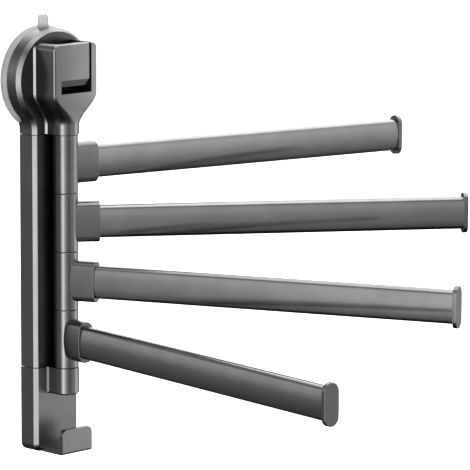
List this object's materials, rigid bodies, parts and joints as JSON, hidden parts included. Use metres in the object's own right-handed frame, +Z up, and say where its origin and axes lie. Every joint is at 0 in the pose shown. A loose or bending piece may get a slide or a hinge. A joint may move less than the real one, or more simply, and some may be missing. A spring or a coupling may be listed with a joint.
{
  "type": "swing arm towel bar",
  "caption": "Wall rack held by a lever-locked suction cup, with hollow bars that each swing about a vertical shaft, and a hook below.",
  "frame": {"origin": "centre of the suction cup, on the wall's face", "axes": "+Z up along the rail, +X to the right along the wall, +Y into the wall, so the front faces -Y"},
  "size_m": [0.3358, 0.3268, 0.3208],
  "materials": {
    "gunmetal": "satin gunmetal grey coat",
    "bar_metal": "satin gunmetal grey anodised",
    "steel": "plain steel",
    "inner_plastic": "matte black",
    "cup": "soft translucent, pale grey"
  },
  "bodies": {
    "root": {"suction_cup": "cup", "backing_plate": "inner_plastic", "head_shell": "gunmetal", "lever_housing": "gunmetal", "housing_screws": "steel", "rail": "gunmetal", "rail_cover": "inner_plastic", "cover_screws": "steel", "lower_bracket": "gunmetal", "shaft": "steel", "upper_bush": "inner_plastic", "lower_bush": "inner_plastic", "friction_washers": "inner_plastic", "shaft_screw": "steel"},
    "rod": {"pull_rod": "steel", "lever_pin": "steel"},
    "lever_body": {"lever": "gunmetal"},
    "arm_1": {"arm_1_hub": "gunmetal", "arm_1_bar": "bar_metal", "arm_1_cap": "gunmetal", "arm_1_screw": "steel"},
    "arm_2": {"arm_2_hub": "gunmetal", "arm_2_bar": "bar_metal", "arm_2_cap": "gunmetal", "arm_2_screw": "steel"},
    "arm_3": {"arm_3_hub": "gunmetal", "arm_3_bar": "bar_metal", "arm_3_cap": "gunmetal", "arm_3_screw": "steel"},
    "arm_4": {"arm_4_hub": "gunmetal", "arm_4_bar": "bar_metal", "arm_4_cap": "gunmetal", "arm_4_screw": "steel"}
  },
  "joints": [
    {"name": "rod_slide", "type": "slide", "parent": "root", "child": "rod", "axis": [0, 1, 0], "range_m": [0, 0.003], "deforming": ["suction_cup"]},
    {"name": "lever_flip", "type": "hinge", "parent": "rod", "child": "lever_body", "pos_m": [0, -0.0318, 0], "axis": [1, 0, 0], "range_deg": [0, 90]},
    {"name": "arm_1_swing", "type": "hinge", "parent": "root", "child": "arm_1", "pos_m": [0, -0.028, -0.0611], "axis": [0, 0, 1], "range_deg": [-168.5, 11.5]},
    {"name": "arm_2_swing", "type": "hinge", "parent": "root", "child": "arm_2", "pos_m": [0, -0.028, -0.1041], "axis": [0, 0, 1], "range_deg": [-144.5, 35.5]},
    {"name": "arm_3_swing", "type": "hinge", "parent": "root", "child": "arm_3", "pos_m": [0, -0.028, -0.1471], "axis": [0, 0, 1], "range_deg": [-114, 66]},
    {"name": "arm_4_swing", "type": "hinge", "parent": "root", "child": "arm_4", "pos_m": [0, -0.028, -0.1901], "axis": [0, 0, 1], "range_deg": [-83.5, 96.5]}
  ],
  "couplings": [
    {"joint": "lever_flip", "follows": "rod_slide", "rad_per_m": 523.5}
  ]
}
